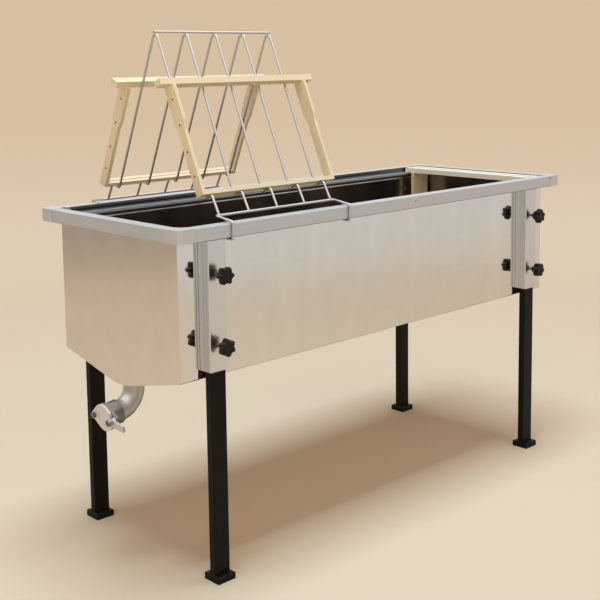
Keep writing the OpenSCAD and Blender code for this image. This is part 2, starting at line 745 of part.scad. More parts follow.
// A rail along the tank with both ends bent out over the rim and hooked under it.
module rack_rail(side) color("gray") translate([rack_x, 0, rim_top]) mirror([0, side < 0 ? 1 : 0, 0]) {
    hook_low = hook_bot - rim_top;
    hook = [[rail_y, rail_h], [hook_y, hook_h], [hook_y, hook_low], [hook_y - hook_foot, hook_low]];
    radii = [0, wire_bend_r, wire_bend_r, 0];
    reach = hook_run - cut_back(hook, radii, 1) + bend_lap;
    translate([0, rail_y, rail_h]) rotate([-hook_tilt, 0, 0])
        wire_run([[-rail_x, reach], [-rail_x, 0], [rail_x, 0], [rail_x, reach]], radii);
    for (x = [-rail_x, rail_x]) translate([x, 0, 0]) rotate([90, 0, 90]) wire_run(hook, radii, 1);
}

// Hive frames, drawn along X with the underside of the top bar at the origin

module top_bar() difference() {
    translate([-top_bar_l / 2, -bar_w / 2, 0]) cube([top_bar_l, bar_w, top_bar_t]);
    translate([-frame_in_w / 2, -comb_groove_w / 2, -over])
        cube([frame_in_w, comb_groove_w, comb_groove_d + over]);
}

module side_bar_section() polygon([
    [-side_bar_w / 2, 0], [-side_bar_w / 2, -side_wide_h], [-bar_w / 2, -side_wide_h - side_taper_h],
    [-bar_w / 2, -frame_drop], [bar_w / 2, -frame_drop], [bar_w / 2, -side_wide_h - side_taper_h],
    [side_bar_w / 2, -side_wide_h], [side_bar_w / 2, 0]
]);

module side_bars() for (x = [-1, 1])
    translate([x * (frame_w - side_bar_t) / 2, 0, 0]) along_x(side_bar_t) side_bar_section();

module bottom_bar() translate([0, 0, -frame_drop]) difference() {
    translate([-frame_in_w / 2, -bar_w / 2, 0]) cube([frame_in_w, bar_w, side_bar_t]);
    translate([-frame_in_w / 2 - over, -comb_groove_w / 2, side_bar_t - comb_groove_d])
        cube([frame_in_w + 2 * over, comb_groove_w, comb_groove_d + over]);
}

// A frame leaning on the rack, on the front (-1) or back (1) side.
module leaning(side, shift) color("burlywood")
    translate([rack_x + shift, side * lean_y, lean_z]) rotate([side * rack_lean, 0, 0]) children();

// A frame hanging on the ledges, counted from the rim inwards.
module hanging(place) color("burlywood")
    translate([hang_x - place * hang_pitch, 0, ledge_z]) rotate([0, 0, 90]) children();

placed() trough_shell();
placed() end_plate(-1);  // left_end_plate
placed() end_plate(1);  // right_end_plate
placed() strainer();
placed() long_rim(-1);  // rim_front
placed() long_rim(1);  // rim_back
placed() end_rim(-1);  // rim_left
placed() end_rim(1);  // rim_right
placed() rim_corners();
for (c = corners) {
    placed() leg_clamp(c[1], c[2]);
    placed() leg(c[1], c[2]);
    placed() foot(c[1], c[2]);
    for (k = [0, 1]) {
        placed() knob(c[1], c[2], k);
        placed() stud(c[1], c[2], k);
    }
}
placed() clamp_rivets();
placed() outlet_elbow();
placed() gate_body();
placed() gate_seal();
placed() gate_flap();
placed() gate_pivot_bolt();
placed() gate_lever_screw();
placed() rack_loops();
placed() rack_ridge();
placed() rack_rail(-1);  // rack_front_rail
placed() rack_rail(1);  // rack_back_rail
placed() leaning(-1, front_shift) top_bar();  // front_frame_top_bar
placed() leaning(-1, front_shift) side_bars();  // front_frame_side_bars
placed() leaning(-1, front_shift) bottom_bar();  // front_frame_bottom_bar
placed() leaning(1, back_shift) top_bar();  // back_frame_top_bar
placed() leaning(1, back_shift) side_bars();  // back_frame_side_bars
placed() leaning(1, back_shift) bottom_bar();  // back_frame_bottom_bar
placed() hanging(1) top_bar();  // inner_frame_top_bar
placed() hanging(1) side_bars();  // inner_frame_side_bars
placed() hanging(1) bottom_bar();  // inner_frame_bottom_bar
placed() hanging(0) top_bar();  // outer_frame_top_bar
placed() hanging(0) side_bars();  // outer_frame_side_bars
placed() hanging(0) bottom_bar();  // outer_frame_bottom_bar
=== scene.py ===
"""Looks for the uncapping tank: finishes, small fittings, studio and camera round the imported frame."""

from __future__ import annotations

import functools
import json
import logging
import math
from dataclasses import dataclass, field
from enum import Enum

import bmesh
import bpy
from mathutils import Matrix, Vector

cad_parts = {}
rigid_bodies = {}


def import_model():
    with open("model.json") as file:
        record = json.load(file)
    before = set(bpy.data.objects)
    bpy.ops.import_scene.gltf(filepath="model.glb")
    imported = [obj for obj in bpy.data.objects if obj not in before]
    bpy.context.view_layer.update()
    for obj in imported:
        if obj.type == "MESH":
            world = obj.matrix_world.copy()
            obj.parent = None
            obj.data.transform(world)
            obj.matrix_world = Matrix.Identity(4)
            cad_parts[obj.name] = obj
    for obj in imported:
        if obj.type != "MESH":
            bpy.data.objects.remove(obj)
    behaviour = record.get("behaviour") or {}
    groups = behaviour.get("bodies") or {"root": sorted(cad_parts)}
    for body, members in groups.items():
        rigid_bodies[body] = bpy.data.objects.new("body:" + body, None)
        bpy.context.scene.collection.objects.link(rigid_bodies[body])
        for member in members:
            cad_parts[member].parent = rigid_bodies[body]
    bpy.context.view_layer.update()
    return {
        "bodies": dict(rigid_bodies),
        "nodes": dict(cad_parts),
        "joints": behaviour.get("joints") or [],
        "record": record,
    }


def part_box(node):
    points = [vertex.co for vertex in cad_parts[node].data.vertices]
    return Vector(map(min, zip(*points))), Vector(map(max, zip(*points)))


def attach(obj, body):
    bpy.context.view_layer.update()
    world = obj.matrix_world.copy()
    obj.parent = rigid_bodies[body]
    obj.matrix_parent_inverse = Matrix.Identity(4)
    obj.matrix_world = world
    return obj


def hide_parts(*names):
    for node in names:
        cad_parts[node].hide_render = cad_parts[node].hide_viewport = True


log = logging.getLogger("uncapping_tank")

Triple = tuple[float, float, float]
Colour = Triple
Range = tuple[float, float]
Steps = tuple[int, int]
Node = bpy.types.Node
Socket = bpy.types.NodeSocket
Value = float | tuple | Socket

CORNERS = ("fl", "fr", "bl", "br")
LEVELS = ("upper", "lower")
LEAN_DEG = 23.4
LEAN = math.radians(LEAN_DEG)
QUARTER = math.pi / 2
BLACK = (0.0, 0.0, 0.0)
WHITE = (1.0, 1.0, 1.0)
UP = Vector((0.0, 0.0, 1.0))


class Axis(Enum):
    """The way a finish runs; each value is the Mapping rotation that brings it to the pattern's X."""

    X = (0.0, 0.0, 0.0)
    Y = (0.0, 0.0, -QUARTER)
    Z = (0.0, QUARTER, 0.0)
    LEAN_FRONT = (LEAN, QUARTER, 0.0)
    LEAN_BACK = (-LEAN, QUARTER, 0.0)


def opaque(colour: Colour, scale: float = 1.0) -> tuple[float, float, float, float]:
    """Gives a colour full alpha.

    Args:
        colour: Red, green and blue.
        scale: Above 1 lightens it, below 1 darkens it.

    Returns:
        The colour as a colour socket takes it.
    """
    return (*(part * scale for part in colour), 1.0)


@dataclass
class Wiring:
    """Adds and joins the nodes of one shader tree: a material's, a world's or a group's."""

    COLOUR_INPUTS = (0, 6, 7)
    COLOUR_OUTPUT = 2
    tree: bpy.types.NodeTree

    @classmethod
    def material(cls, name: str) -> tuple[bpy.types.Material, Wiring]:
        """Starts a material without nodes.

        Args:
            name: The material's name.

        Returns:
            The material and its wiring.
        """
        material = bpy.data.materials.new(name)
        material.use_nodes = True
        material.node_tree.nodes.clear()
        return material, cls(material.node_tree)

    def add(self, kind: str | bpy.types.NodeTree, **inputs: Value) -> Node:
        """Adds a node and sets or joins its inputs.

        Args:
            kind: The node's type name, or a shared effect's group.
            inputs: Input values by socket name, with _ for a space; a socket is joined.

        Returns:
            The new node.
        """
        shared = isinstance(kind, bpy.types.NodeTree)
        node = self.tree.nodes.new("ShaderNodeGroup" if shared else kind)
        if shared:
            node.node_tree = kind
        for name, value in inputs.items():
            self.put(node, name.replace("_", " "), value)
        return node

    def put(self, node: Node, name: str | int, value: Value) -> None:
        """Sets one input, or joins a socket to it.

        Args:
            node: The node to set.
            name: The input's name or number.
            value: A plain value, or an output socket.
        """
        if isinstance(value, Socket):
            self.tree.links.new(value, node.inputs[name])
        else:
            node.inputs[name].default_value = value

    def math(self, operation: str, first: Value, second: Value = 0.0) -> Socket:
        """A Math node.

        Args:
            operation: The node's operation.
            first: First value or socket.
            second: Second value or socket.

        Returns:
            The result socket.
        """
        node = self.add("ShaderNodeMath")
        node.operation = operation
        self.put(node, 0, first)
        self.put(node, 1, second)
        return node.outputs[0]

    def vector(self, operation: str, first: Value, second: Value | None = None) -> Socket:
        """A Vector Math node.

        Args:
            operation: The node's operation.
            first: First vector or socket.
            second: Second vector or socket, where the operation takes one.

        Returns:
            The result socket, a plain value for a length or a distance.
        """
        node = self.add("ShaderNodeVectorMath")
        node.operation = operation
        self.put(node, 0, first)
        if second is not None:
            self.put(node, 1, second)
        return node.outputs["Value" if operation in ("LENGTH", "DISTANCE") else "Vector"]

    def span(self, value: Socket, low: float, high: float, start: float = 0.0, end: float = 1.0) -> Socket:
        """Maps start to end onto low to high.

        Args:
            value: The socket to map.
            low: Result at start.
            high: Result at end.
            start: Where the range begins.
            end: Where it ends.

        Returns:
            The mapped socket.
        """
        ends = {"From_Min": start, "From_Max": end, "To_Min": low, "To_Max": high}
        return self.add("ShaderNodeMapRange", Value=value, **ends).outputs["Result"]

    def ease(self, value: Socket, start: float, end: float) -> Socket:
        """A smooth step from 0 at start to 1 at end.

        Args:
            value: The socket to map.
            start: Where the step begins.
            end: Where it ends, above or below start.

        Returns:
            The step's socket.
        """
        result = self.span(value, 0.0, 1.0, start, end)
        result.node.interpolation_type = "SMOOTHSTEP"
        return result

    def blend(self, factor: Value, first: Value, second: Value) -> Socket:
        """A colour Mix node.

        Args:
            factor: Share of the second colour.
            first: Colour or socket at 0.
            second: Colour or socket at 1.

        Returns:
            The mixed colour socket.
        """
        node = self.add("ShaderNodeMix")
        node.data_type = "RGBA"
        for number, value in zip(self.COLOUR_INPUTS, (factor, first, second)):
            self.put(node, number, value)
        return node.outputs[self.COLOUR_OUTPUT]


class Effects:
    """Shared surface effects as shader node groups, each built once."""

    CLOUD_EDGES: Range = (0.3, 0.7)
    HIGHLIGHT_EDGES: Range = (0.46, 0.72)
    SPOT_EDGES: Range = (0.26, 0.1)
    RING_STRETCH: Triple = (2.2, 30.0, 30.0)
    RING_TURNS = 42.0
    RING_LEVELS: Range = (0.5, 1.0)
    FIBRE_STRETCH: Triple = (14.0, 700.0, 700.0)
    KNOT_SCALE = 0.35
    KNOT_EDGES: Range = (0.02, 0.12)

    @staticmethod
    def _start(name: str, values: tuple[str, ...], results: tuple[str, ...]) -> tuple[Wiring, dict, Node]:
        """Starts a group that takes a Vector and plain values and puts out plain values.

        Args:
            name: The group's name.
            values: Names of the plain inputs.
            results: Names of the outputs.

        Returns:
            The wiring, the input sockets by name and the output node.
        """
        tree = bpy.data.node_groups.new(name, "ShaderNodeTree")
        tree.interface.new_socket(name="Vector", in_out="INPUT", socket_type="NodeSocketVector")
        for label in values:
            tree.interface.new_socket(name=label, in_out="INPUT", socket_type="NodeSocketFloat")
        for label in results:
            tree.interface.new_socket(name=label, in_out="OUTPUT", socket_type="NodeSocketFloat")
        source = tree.nodes.new("NodeGroupInput")
        sink = tree.nodes.new("NodeGroupOutput")
        return Wiring(tree), {label: source.outputs[label] for label in ("Vector", *values)}, sink

    @staticmethod
    def _stretched(wires: Wiring, given: dict[str, Socket]) -> Socket:
        """Scales a group's Vector.

        Args:
            wires: The group's wiring.
            given: Its inputs, Vector, Along and Across among them.

        Returns:
            The vector, times Along on X and times Across on Y and Z.
        """
        scale = wires.add("ShaderNodeCombineXYZ", X=given["Along"], Y=given["Across"], Z=given["Across"])
        return wires.vector("MULTIPLY", given["Vector"], scale.outputs[0])

    @classmethod
    @functools.cache
    def fine_lines(cls) -> bpy.types.NodeTree:
        """Lines along the pattern's X, as brushing or drawing leaves them.

        Returns:
            The group: Vector, Along and Across in, Lines out.
        """
        wires, given, sink = cls._start("fine_lines", ("Along", "Across"), ("Lines",))
        place = cls._stretched(wires, given)
        noise = wires.add("ShaderNodeTexNoise", Vector=place, Scale=1.0, Detail=3.0, Roughness=0.6)
        wires.put(sink, "Lines", noise.outputs[0])
        return wires.tree

    @classmethod
    @functools.cache
    def clouds(cls) -> bpy.types.NodeTree:
        """Soft patches, as handling and rolling leave on sheet.

        Returns:
            The group: Vector and Scale in, Patch out.
        """
        wires, given, sink = cls._start("clouds", ("Scale",), ("Patch",))
        place, scale = given["Vector"], given["Scale"]
        noise = wires.add("ShaderNodeTexNoise", Vector=place, Scale=scale, Detail=3.0, Roughness=0.5)
        wires.put(sink, "Patch", wires.span(noise.outputs[0], 0.0, 1.0, *cls.CLOUD_EDGES))
        return wires.tree

    @classmethod
    @functools.cache
    def inside(cls) -> bpy.types.NodeTree:
        """Marks where painted shade goes: the inner skin of the trough, and all that lies above its brim.

        Returns:
            The group: Vector, Middle, Half X, Half Y, Low and Brim in, Mask out.
        """
        wires, given, sink = cls._start("inside", ("Middle", "Half X", "Half Y", "Low", "Brim"), ("Mask",))
        parts = wires.add("ShaderNodeSeparateXYZ", Vector=given["Vector"])
        from_middle = wires.math("SUBTRACT", parts.outputs["X"], given["Middle"])
        within_x = wires.math("LESS_THAN", wires.math("ABSOLUTE", from_middle), given["Half X"])
        within_y = wires.math("LESS_THAN", wires.math("ABSOLUTE", parts.outputs["Y"]), given["Half Y"])
        above = wires.math("GREATER_THAN", parts.outputs["Z"], given["Low"])
        skin = wires.math("MULTIPLY", wires.math("MULTIPLY", within_x, within_y), above)
        brim = wires.math("GREATER_THAN", parts.outputs["Z"], given["Brim"])
        wires.put(sink, "Mask", wires.math("MAXIMUM", skin, brim))
        return wires.tree

    @classmethod
    @functools.cache
    def highlight_streaks(cls) -> bpy.types.NodeTree:
        """Soft streaks across the pattern's X, painted as highlights on polished sheet.

        Returns:
            The group: Vector, Along and Across in, Streak out.
        """
        wires, given, sink = cls._start("highlight_streaks", ("Along", "Across"), ("Streak",))
        place = cls._stretched(wires, given)
        noise = wires.add("ShaderNodeTexNoise", Vector=place, Scale=1.0, Detail=1.5, Distortion=0.4)
        wires.put(sink, "Streak", wires.ease(noise.outputs[0], *cls.HIGHLIGHT_EDGES))
        return wires.tree

    @classmethod
    @functools.cache
    def specks(cls) -> bpy.types.NodeTree:
        """Small spots of beeswax and dirt, in some of many cells.

        Returns:
            The group: Vector, Scale and Share in, Spot out.
        """
        wires, given, sink = cls._start("specks", ("Scale", "Share"), ("Spot",))
        cells = wires.add("ShaderNodeTexVoronoi", Vector=given["Vector"], Scale=given["Scale"])
        draw = wires.add("ShaderNodeSeparateColor", Color=cells.outputs["Color"])
        chosen = wires.math("LESS_THAN", draw.outputs[0], given["Share"])
        spot = wires.ease(cells.outputs["Distance"], *cls.SPOT_EDGES)
        wires.put(sink, "Spot", wires.math("MULTIPLY", chosen, spot))
        return wires.tree

    @classmethod
    @functools.cache
    def timber(cls) -> bpy.types.NodeTree:
        """Growth rings drawn out along the pattern's X, with finer fibres between them.

        Returns:
            The group: Vector and Seed in, Rings, Fibre and Knot out.
        """
        wires, given, sink = cls._start("timber", ("Seed",), ("Rings", "Fibre", "Knot"))
        drift = wires.vector("ADD", given["Vector"], given["Seed"])
        slow = wires.vector("MULTIPLY", drift, cls.RING_STRETCH)
        bend = wires.add("ShaderNodeTexNoise", Vector=slow, Scale=1.0, Detail=2.0, Roughness=0.5)
        rings = wires.math("SINE", wires.math("MULTIPLY", bend.outputs[0], cls.RING_TURNS))
        wires.put(sink, "Rings", wires.span(rings, *cls.RING_LEVELS))
        thin = wires.vector("MULTIPLY", drift, cls.FIBRE_STRETCH)
        fibre = wires.add("ShaderNodeTexNoise", Vector=thin, Scale=1.0, Detail=3.0, Roughness=0.6)
        wires.put(sink, "Fibre", fibre.outputs[0])
        cells = wires.add("ShaderNodeTexVoronoi", Vector=slow, Scale=cls.KNOT_SCALE)
        wires.put(sink, "Knot", wires.span(cells.outputs["Distance"], 1.0, 0.0, *cls.KNOT_EDGES))
        return wires.tree


@dataclass(frozen=True)
class Finish:
    """A named finish with its colour; each kind wires its own nodes."""

    name: str
    colour: Colour
    grain: Axis = Axis.X

    def build(self) -> bpy.types.Material:
        """Makes the material.

        Returns:
            The wired material.
        """
        material, wires = Wiring.material(self.name)
        shader = wires.add("ShaderNodeBsdfPrincipled")
        wires.add("ShaderNodeOutputMaterial", Surface=shader.outputs[0])
        still = wires.add("ShaderNodeTexCoord").outputs["Object"]
        turned = wires.add("ShaderNodeMapping", Vector=still, Rotation=self.grain.value)
        self.wire(wires, shader, turned.outputs[0], still)
        return material

    def wire(self, wires: Wiring, shader: Node, place: Socket, still: Socket) -> None:
        """Joins the finish's own nodes.

        Args:
            wires: The material's wiring.
            shader: The Principled shader.
            place: Object coordinates, turned so that the grain runs along X.
            still: Object coordinates as they are.
        """
        raise NotImplementedError

    def bump(self, wires: Wiring, shader: Node, height: Socket, depth: float, strength: float) -> None:
        """Feeds a bump to the shader's normal.

        Args:
            wires: The material's wiring.
            shader: The Principled shader.
            height: The height socket.
            depth: Depth in metres.
            strength: Share of the bump that shows.
        """
        node = wires.add("ShaderNodeBump", Height=height, Distance=depth, Strength=strength)
        wires.put(shader, "Normal", node.outputs[0])


@dataclass(frozen=True)
class LinedMetal(Finish):
    """Bare metal with brushed, rolled or drawn lines and soft patches."""

    rough: Range = (0.2, 0.32)
    along: float = 0.3
    across: float = 900.0
    patch: float = 4.0
    shade: float = 0.9
    depth: float = 0.00002
    strength: float = 0.15
    metallic: float = 1.0
    line_share: float = 0.6

    def wire(self, wires: Wiring, shader: Node, place: Socket, still: Socket) -> None:
        """Lines and patches in colour, roughness and bump; as Finish.wire."""
        lines = wires.add(Effects.fine_lines(), Vector=place, Along=self.along, Across=self.across).outputs[0]
        patch = wires.add(Effects.clouds(), Vector=place, Scale=self.patch).outputs[0]
        lined = wires.math("MULTIPLY", lines, self.line_share)
        mixed = wires.math("ADD", lined, wires.math("MULTIPLY", patch, 1.0 - self.line_share))
        colour = wires.blend(mixed, opaque(self.colour, self.shade), opaque(self.colour))
        rough = wires.span(mixed, self.rough[1], self.rough[0])
        wires.put(shader, "Base Color", self.tint(wires, colour, patch, still))
        wires.put(shader, "Roughness", self.dull(wires, rough, still))
        wires.put(shader, "Metallic", self.metallic)
        self.bump(wires, shader, lines, self.depth, self.strength)

    def tint(self, wires: Wiring, colour: Socket, patch: Socket, still: Socket) -> Socket:
        """The colour as it is; a kind with marked places changes it there.

        Args:
            wires: The material's wiring.
            colour: The lined colour.
            patch: The soft patches.
            still: Object coordinates as they are.

        Returns:
            The colour that the shader takes.
        """
        return colour

    def dull(self, wires: Wiring, rough: Socket, still: Socket) -> Socket:
        """The roughness as it is; a kind with marked places changes it there.

        Args:
            wires: The material's wiring.
            rough: The lined roughness.
            still: Object coordinates as they are.

        Returns:
            The roughness that the shader takes.
        """
        return rough


@dataclass(frozen=True)
class TroughSteel(LinedMetal):
    """Polished sheet whose inner skin, and all that lies above its brim, is darkened with painted shade."""

    # The inner colour is painted shade on the inner skin; deep darkens it further in patches.
    inner: Colour = (0.42, 0.40, 0.375)
    inner_rough: float = 0.22
    deep: float = 0.6
    half_x: float = 2.0
    half_y: float = 2.0
    low: float = 0.0
    brim: float = 2.0
    middle_x: float = 0.0176931
    streaks: Range = (17.0, 2.6)
    # Strength of the painted highlight streaks on the outside.
    streak_highlight: float = 0.1
    cloudy: float = 0.065

    def _mask(self, wires: Wiring, still: Socket) -> Socket:
        """Where the sheet's inner skin is.

        Args:
            wires: The material's wiring.
            still: Object coordinates as they are.

        Returns:
            1 on the inner skin, 0 elsewhere.
        """
        limits = {"Middle": self.middle_x, "Half X": self.half_x, "Half Y": self.half_y}
        limits |= {"Low": self.low, "Brim": self.brim}
        return wires.add(Effects.inside(), Vector=still, **limits).outputs["Mask"]

    def tint(self, wires: Wiring, colour: Socket, patch: Socket, still: Socket) -> Socket:
        """Darker clouds and painted highlight streaks outside, and painted shade in two depths on the inner
        skin; as LinedMetal.tint.
        """
        along, across = self.streaks
        streak = wires.add(Effects.highlight_streaks(), Vector=still, Along=along, Across=across).outputs[0]
        colour = wires.blend(wires.math("MULTIPLY", patch, self.cloudy), colour, opaque(BLACK))
        # Painted highlight streaks: the colour is lightened towards white along them.
        colour = wires.blend(wires.math("MULTIPLY", streak, self.streak_highlight), colour, opaque(WHITE))
        # Painted shade on the inner skin, in two depths.
        inner_shade = wires.blend(patch, opaque(self.inner), opaque(self.inner, self.deep))
        return wires.blend(self._mask(wires, still), colour, inner_shade)

    def dull(self, wires: Wiring, rough: Socket, still: Socket) -> Socket:
        """A duller inner skin; as LinedMetal.dull."""
        mask = self._mask(wires, still)
        outer = wires.math("MULTIPLY", rough, wires.math("SUBTRACT", 1.0, mask))
        return wires.math("ADD", outer, wires.math("MULTIPLY", mask, self.inner_rough))


@dataclass(frozen=True)
class UsedMetal(LinedMetal):
    """Aluminium with specks of beeswax and dulled patches from use."""

    speck: Colour = (0.20, 0.13, 0.075)
    speck_scale: float = 55.0
    speck_share: float = 0.05
    speck_strength: float = 0.6
    cloudy: float = 0.1
    cloud_shade: float = 0.4

    def tint(self, wires: Wiring, colour: Socket, patch: Socket, still: Socket) -> Socket:
        """Patches, then specks; as LinedMetal.tint."""
        clouds = wires.math("MULTIPLY", patch, self.cloudy)
        colour = wires.blend(clouds, colour, opaque(self.colour, self.cloud_shade))
        spots = wires.add(Effects.specks(), Vector=still, Scale=self.speck_scale, Share=self.speck_share)
        shown = wires.math("MULTIPLY", spots.outputs[0], self.speck_strength)
        return wires.blend(shown, colour, opaque(self.speck))


@dataclass(frozen=True)
class HubSteel(LinedMetal):
    """Plated steel with painted shade on the hub."""

    hub: Triple = (-0.7310, -0.036, 0.3527)
    reach: float = 0.0082
    edge: float = 0.15
    hub_shade: Colour = (0.11, 0.098, 0.088)

    def tint(self, wires: Wiring, colour: Socket, patch: Socket, still: Socket) -> Socket:
        """Painted shade round the hub; as LinedMetal.tint."""
        away = wires.vector("DISTANCE", still, self.hub)
        near = wires.ease(away, self.reach * (1.0 + self.edge), self.reach * (1.0 - self.edge))
        # The hub is darkened as painted shade.
        return wires.blend(near, colour, opaque(self.hub_shade))


@dataclass(frozen=True)
class LedgeMetal(UsedMetal):
    """Used aluminium whose frame ledge is darkened low on its inner face with painted shade."""

    ledge_shade: Colour = (0.05, 0.043, 0.036)
    half_y: float = 0.2319
    high: float = 0.7968
    edge: float = 0.0006

    def tint(self, wires: Wiring, colour: Socket, patch: Socket, still: Socket) -> Socket:
        """Painted shade on the foot of the ledge; as LinedMetal.tint."""
        colour = super().tint(wires, colour, patch, still)
        parts = wires.add("ShaderNodeSeparateXYZ", Vector=still)
        inner = wires.math("LESS_THAN", wires.math("ABSOLUTE", parts.outputs["Y"]), self.half_y)
        low = wires.ease(parts.outputs["Z"], self.high + self.edge, self.high - self.edge)
        # Painted shade on the ledge's inner face below its top.
        return wires.blend(wires.math("MULTIPLY", inner, low), colour, opaque(self.ledge_shade))


@dataclass(frozen=True)
class Coated(Finish):
    """Powder coat or moulded plastic with a fine skin."""

    rough: Range = (0.35, 0.5)
    skin: float = 2200.0
    depth: float = 0.00006
    strength: float = 0.25
    shine: float = 0.5
    dust: float = 14.0
    dust_shade: float = 1.5

    def wire(self, wires: Wiring, shader: Node, place: Socket, still: Socket) -> None:
        """A pebbled skin and a little dust in the colour; as Finish.wire."""
        patch = wires.add(Effects.clouds(), Vector=place, Scale=self.dust).outputs[0]
        pebble = wires.add("ShaderNodeTexNoise", Vector=place, Scale=self.skin, Detail=2.0)
        dusty = wires.blend(patch, opaque(self.colour), opaque(self.colour, self.dust_shade))
        wires.put(shader, "Base Color", dusty)
        wires.put(shader, "Roughness", wires.span(patch, *self.rough))
        wires.put(shader, "Specular IOR Level", self.shine)
        self.bump(wires, shader, pebble.outputs[0], self.depth, self.strength)


@dataclass(frozen=True)
class Pine(Finish):
    """Planed pale pine."""

    dark: Colour = (0.74, 0.56, 0.33)
    seed: float = 0.0
    ring_share: float = 0.34
    fibre_share: float = 0.24
    knot: Colour = (0.25, 0.12, 0.05)
    knot_share: float = 0.6
    rough: Range = (0.5, 0.72)
    depth: float = 0.0001
    strength: float = 0.3

    def wire(self, wires: Wiring, shader: Node, place: Socket, still: Socket) -> None:
        """Rings, fibres and an odd knot; as Finish.wire."""
        timber = wires.add(Effects.timber(), Vector=place, Seed=self.seed).outputs
        dark = opaque(self.dark)
        ringed = wires.blend(wires.span(timber["Rings"], 0.0, self.ring_share), opaque(self.colour), dark)
        fibrous = wires.blend(wires.span(timber["Fibre"], 0.0, self.fibre_share), ringed, dark)
        knots = wires.math("MULTIPLY", timber["Knot"], self.knot_share)
        wires.put(shader, "Base Color", wires.blend(knots, fibrous, opaque(self.knot)))
        wires.put(shader, "Roughness", wires.span(timber["Fibre"], *self.rough))
        self.bump(wires, shader, timber["Fibre"], self.depth, self.strength)


STAINLESS = TroughSteel(
    "stainless_sheet", (0.79, 0.773, 0.752), Axis.X, (0.05, 0.085), along=0.8, across=260.0, patch=13.0,
    shade=0.93, strength=0.05, half_y=0.2311, low=0.4735, brim=0.7845,
)
STAINLESS_END = TroughSteel(
    "stainless_end", (0.765, 0.71, 0.655), Axis.Y, (0.13, 0.18), across=500.0, patch=15.0, shade=0.965,
    strength=0.05, half_x=0.6872,
)
# Dark colour of the rim liner: a painted reflection of the tank's dark inside.
LINER_PAINTED_REFLECTION = LinedMetal("polished_liner", (0.16, 0.165, 0.175), Axis.X, (0.2, 0.3))
STRAINER_SHEET = LinedMetal("strainer_sheet", (0.30, 0.265, 0.215), Axis.X, (0.24, 0.36))
DRAWN_X = LedgeMetal(
    "drawn_aluminium_long", (0.645, 0.672, 0.72), Axis.X, (0.38, 0.46), 1.5, 210.0, 9.0, 0.8, metallic=0.45
)
DRAWN_Y = UsedMetal(
    "drawn_aluminium_cross", (0.625, 0.65, 0.695), Axis.Y, (0.38, 0.46), 1.5, 210.0, 9.0, 0.8, metallic=0.45
)
DRAWN_Z = UsedMetal(
    "drawn_aluminium_upright", (0.70, 0.70, 0.715), Axis.Z, (0.22, 0.28), across=420.0, shade=0.94,
    strength=0.2, speck_share=0.0, cloudy=0.06,
)
CORNER_CAST = UsedMetal(
    "corner_cast", (0.63, 0.65, 0.69), Axis.X, (0.36, 0.46), 240.0, 240.0, shade=0.94, patch=16.0,
    metallic=0.45, speck_share=0.09,
)
BRIGHT_STEEL = LinedMetal("bright_steel", (0.62, 0.61, 0.60), Axis.Y, (0.22, 0.32), 300.0, 700.0)
# Steel darkened as painted shade, for the studs, their threads and the gate's pivot bolt.
SHADED_STEEL = LinedMetal("steel_painted_shade", (0.16, 0.155, 0.15), Axis.Y, (0.3, 0.42), 300.0, 700.0)
# The lever's hub carries painted shade.
LEVER_STEEL = HubSteel("lever_steel", (0.62, 0.61, 0.60), Axis.Y, (0.3, 0.4), 300.0, 700.0)
RACK_WIRE = LinedMetal("rack_wire", (0.63, 0.62, 0.62), Axis.X, (0.32, 0.4), 60.0, 60.0)
OUTLET_STEEL = LinedMetal("outlet_steel", (0.52, 0.505, 0.485), Axis.X, (0.4, 0.5), 160.0, 160.0, shade=0.92)
GATE_CAST = LinedMetal("gate_cast", (0.25, 0.245, 0.24), Axis.X, (0.34, 0.44), 260.0, 260.0, strength=0.3)
GATE_FACE = LinedMetal(
    "gate_face", (0.77, 0.735, 0.71), Axis.X, (0.42, 0.55), 260.0, 260.0, strength=0.3, metallic=0.5
)
BLACK_TUBE = Coated("black_tube", (0.0055, 0.0045, 0.0035), rough=(0.36, 0.46), shine=0.1)
BLACK_FOOT = Coated("black_foot", (0.004, 0.0038, 0.0034), rough=(0.4, 0.5), skin=900.0, shine=0.12)
BLACK_PLASTIC = Coated("black_plastic", (0.006, 0.0055, 0.005), rough=(0.32, 0.45), skin=1500.0, shine=0.2)
BRASS = LinedMetal("brass_eyelet", (0.34, 0.22, 0.09), Axis.X, (0.3, 0.45), 500.0, 500.0)
# Dark discs in the eyelets: painted shade in the wire holes.
EYELET_HOLE_SHADE = Coated("eyelet_hole_shade", (0.03, 0.018, 0.008), rough=(0.7, 0.85))
SEAL_RUBBER = Coated("seal_rubber", (0.02, 0.02, 0.02), rough=(0.6, 0.75))


@dataclass
class Wardrobe:
    """Builds each finish once and puts it on the CAD nodes, kept by name, and on pieces."""

    nodes: dict[str, bpy.types.Object]
    made: dict[str, bpy.types.Material] = field(default_factory=dict)

    def material(self, finish: Finish) -> bpy.types.Material:
        """Builds a finish's material at its first use.

        Args:
            finish: The finish.

        Returns:
            Its material.
        """
        if finish.name not in self.made:
            self.made[finish.name] = finish.build()
        return self.made[finish.name]

    def wear(self, obj: bpy.types.Object, finish: Finish) -> None:
        """Gives every slot of an object one finish.

        Args:
            obj: The mesh object.
            finish: The finish it takes.
        """
        material = self.material(finish)
        if not obj.data.materials:
            obj.data.materials.append(material)
        for slot in obj.material_slots:
            slot.material = material

    def dress(self, finish: Finish, *names: str) -> None:
        """Gives CAD nodes a finish.

        Args:
            finish: The finish they take.
            names: Node names.
        """
        for name in names:
            self.wear(self.nodes[name], finish)
            log.info("dressed %s in %s", name, finish.name)


def edges_of(verts: list[bmesh.types.BMVert]) -> list[bmesh.types.BMEdge]:
    """The edges at some vertices, in an order that is the same each run.

    Args:
        verts: The vertices.

    Returns:
        Each edge once.
    """
    return list(dict.fromkeys(edge for vert in verts for edge in vert.link_edges))


